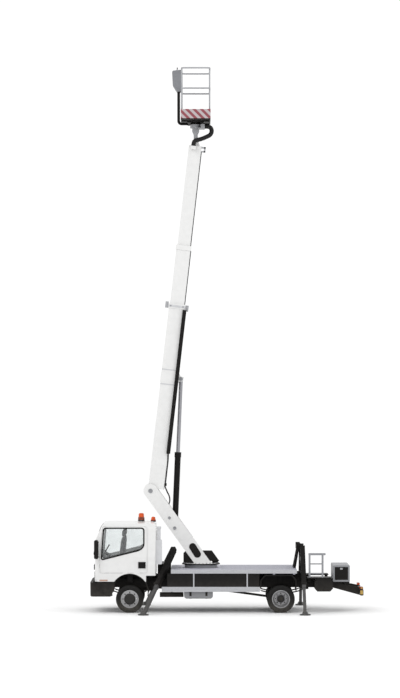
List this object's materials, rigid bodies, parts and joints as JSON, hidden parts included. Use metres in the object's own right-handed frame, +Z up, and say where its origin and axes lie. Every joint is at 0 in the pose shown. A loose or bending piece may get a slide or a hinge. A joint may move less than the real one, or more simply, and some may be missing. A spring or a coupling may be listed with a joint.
{
  "type": "cherry picker truck",
  "caption": "Light cab-over truck with a turret, telescopic boom, levelled rotating basket, sloping stabiliser legs, doors, steered front wheels and twin rear wheels.",
  "frame": {"origin": "on the ground, at mid-length and mid-width of the truck as it stands", "axes": "+X to the truck's rear, +Y to its right side, +Z up"},
  "size_m": [6.3356, 3.45, 12.6201],
  "materials": {
    "white_paint": "gloss white enamel",
    "black_steel": "satin black chassis paint",
    "grey_steel": "grey enamel",
    "black_plastic": "grained black",
    "glass": "clear",
    "aluminium": "brushed",
    "seat_cloth": "woven",
    "amber_lens": "clear orange",
    "red_lens": "clear red",
    "rim_steel": "silver paint",
    "tyre": "rubber",
    "rod_chrome": "hard chrome",
    "stripe_board": "red and white stripes",
    "box_grey": "grey",
    "hose_rubber": "corrugated"
  },
  "bodies": {
    "chassis": {"chassis_frame": "black_steel", "subframe": "black_steel", "slew_ring": "grey_steel", "stabiliser_tubes": "grey_steel", "deck": "aluminium", "skirt_panels": "black_plastic", "skirt_rails": "aluminium", "cab_shell": "white_paint", "cab_glass": "glass", "dashboard": "black_plastic", "seats": "seat_cloth", "front_bumper": "black_plastic", "mirrors": "black_plastic", "beacons": "amber_lens", "snorkel": "black_plastic", "front_arches": "black_plastic", "rear_mudguards": "black_plastic", "engine_block": "black_steel", "front_axle": "black_steel", "rear_axle": "black_steel", "leaf_springs": "black_steel", "fuel_tank": "grey_steel", "boom_rest": "black_steel", "tail_frame": "black_steel", "ladder": "grey_steel", "oil_tank": "black_plastic", "rear_locker": "grey_steel", "tail_lamps": "red_lens"},
    "left_door": {"left_door": "white_paint", "left_door_glass": "glass"},
    "right_door": {"right_door": "white_paint", "right_door_glass": "glass"},
    "front_left_knuckle": {"front_left_knuckle": "black_steel"},
    "front_right_knuckle": {"front_right_knuckle": "black_steel"},
    "front_left_wheel": {"front_left_tyre": "tyre", "front_left_rim": "rim_steel"},
    "front_right_wheel": {"front_right_tyre": "tyre", "front_right_rim": "rim_steel"},
    "rear_left_wheels": {"rear_left_tyres": "tyre", "rear_left_rims": "rim_steel"},
    "rear_right_wheels": {"rear_right_tyres": "tyre", "rear_right_rims": "rim_steel"},
    "turret": {"turret_column": "white_paint", "turret_covers": "black_plastic"},
    "boom": {"boom_base": "white_paint", "energy_chain": "black_plastic"},
    "boom_middle": {"boom_middle": "white_paint"},
    "boom_tip": {"boom_tip": "white_paint"},
    "lift_cylinder": {"lift_cylinder": "black_steel"},
    "lift_rod": {"lift_rod": "rod_chrome"},
    "basket_link": {"basket_link": "grey_steel", "basket_hose": "hose_rubber"},
    "basket": {"basket_frame": "aluminium", "basket_floor": "black_steel", "toe_boards": "stripe_board", "control_box": "box_grey"},
    "front_left_leg": {"front_left_leg": "grey_steel"},
    "front_right_leg": {"front_right_leg": "grey_steel"},
    "rear_left_leg": {"rear_left_leg": "grey_steel"},
    "rear_right_leg": {"rear_right_leg": "grey_steel"}
  },
  "joints": [
    {"name": "left_door_swing", "type": "hinge", "parent": "chassis", "child": "left_door", "pos_m": [-2.9185, -0.93, 1.1], "axis": [0, 0, -1], "range_deg": [0, 68]},
    {"name": "right_door_swing", "type": "hinge", "parent": "chassis", "child": "right_door", "pos_m": [-2.9185, 0.93, 1.1], "axis": [0, 0, 1], "range_deg": [0, 68]},
    {"name": "left_steer", "type": "hinge", "parent": "chassis", "child": "front_left_knuckle", "pos_m": [-2.2255, -0.735, 0.318], "axis": [0, 0, 1], "range_deg": [-35, 35]},
    {"name": "right_steer", "type": "hinge", "parent": "chassis", "child": "front_right_knuckle", "pos_m": [-2.2255, 0.735, 0.318], "axis": [0, 0, 1], "range_deg": [-35, 35]},
    {"name": "front_left_spin", "type": "hinge", "parent": "front_left_knuckle", "child": "front_left_wheel", "pos_m": [-2.2255, -0.815, 0.318], "axis": [0, 1, 0], "continuous": true},
    {"name": "front_right_spin", "type": "hinge", "parent": "front_right_knuckle", "child": "front_right_wheel", "pos_m": [-2.2255, 0.815, 0.318], "axis": [0, 1, 0], "continuous": true},
    {"name": "rear_left_spin", "type": "hinge", "parent": "chassis", "child": "rear_left_wheels", "pos_m": [1.2645, -0.717, 0.318], "axis": [0, 1, 0], "continuous": true},
    {"name": "rear_right_spin", "type": "hinge", "parent": "chassis", "child": "rear_right_wheels", "pos_m": [1.2645, 0.717, 0.318], "axis": [0, 1, 0], "continuous": true},
    {"name": "turret_slew", "type": "hinge", "parent": "chassis", "child": "turret", "pos_m": [-0.5805, 0, 1.09], "axis": [0, 0, 1], "range_deg": [0, 350]},
    {"name": "boom_luff", "type": "hinge", "parent": "turret", "child": "boom", "pos_m": [-1.758, 0, 2.792], "axis": [0, -1, 0], "range_deg": [-98.5, 2]},
    {"name": "middle_extend", "type": "slide", "parent": "boom", "child": "boom_middle", "axis": [0.1132, 0, 0.9936], "range_m": [-1.24, 2]},
    {"name": "tip_extend", "type": "slide", "parent": "boom_middle", "child": "boom_tip", "axis": [0.1132, 0, 0.9936], "range_m": [-2.12, 1.2]},
    {"name": "basket_level", "type": "hinge", "parent": "boom_tip", "child": "basket_link", "pos_m": [-0.70418, 0, 10.93706], "axis": [0, -1, 0], "range_deg": [-2, 98.5], "deforming": ["basket_hose"]},
    {"name": "basket_rotate", "type": "hinge", "parent": "basket_link", "child": "basket", "pos_m": [-0.70418, 0, 11.33706], "axis": [0, 0, 1], "range_deg": [-90, 90]},
    {"name": "lift_pivot", "type": "hinge", "parent": "turret", "child": "lift_cylinder", "pos_m": [-1.1925, 0, 1.926], "axis": [0, -1, 0], "range_deg": [-95, 2.5]},
    {"name": "lift_stroke", "type": "slide", "parent": "lift_cylinder", "child": "lift_rod", "axis": [0.0418, 0, 0.9991], "range_m": [-1.56, 0.035]},
    {"name": "front_left_leg_slide", "type": "slide", "parent": "chassis", "child": "front_left_leg", "axis": [-0.3478, -0.5992, -0.7211], "range_m": [-0.7, 0.06]},
    {"name": "front_right_leg_slide", "type": "slide", "parent": "chassis", "child": "front_right_leg", "axis": [-0.3478, 0.5992, -0.7211], "range_m": [-0.7, 0.06]},
    {"name": "rear_left_leg_slide", "type": "slide", "parent": "chassis", "child": "rear_left_leg", "axis": [0.0115, -0.6182, -0.7859], "range_m": [-0.7, 0.06]},
    {"name": "rear_right_leg_slide", "type": "slide", "parent": "chassis", "child": "rear_right_leg", "axis": [0.0115, 0.6182, -0.7859], "range_m": [-0.7, 0.06]}
  ],
  "couplings": [
    {"joint": "right_steer", "follows": "left_steer", "ratio": 1},
    {"joint": "basket_level", "follows": "boom_luff", "ratio": -1},
    {"joint": "lift_pivot", "follows": "boom_luff", "ratio": 0.9568},
    {"joint": "lift_stroke", "follows": "boom_luff", "m_per_rad": 0.9048}
  ]
}
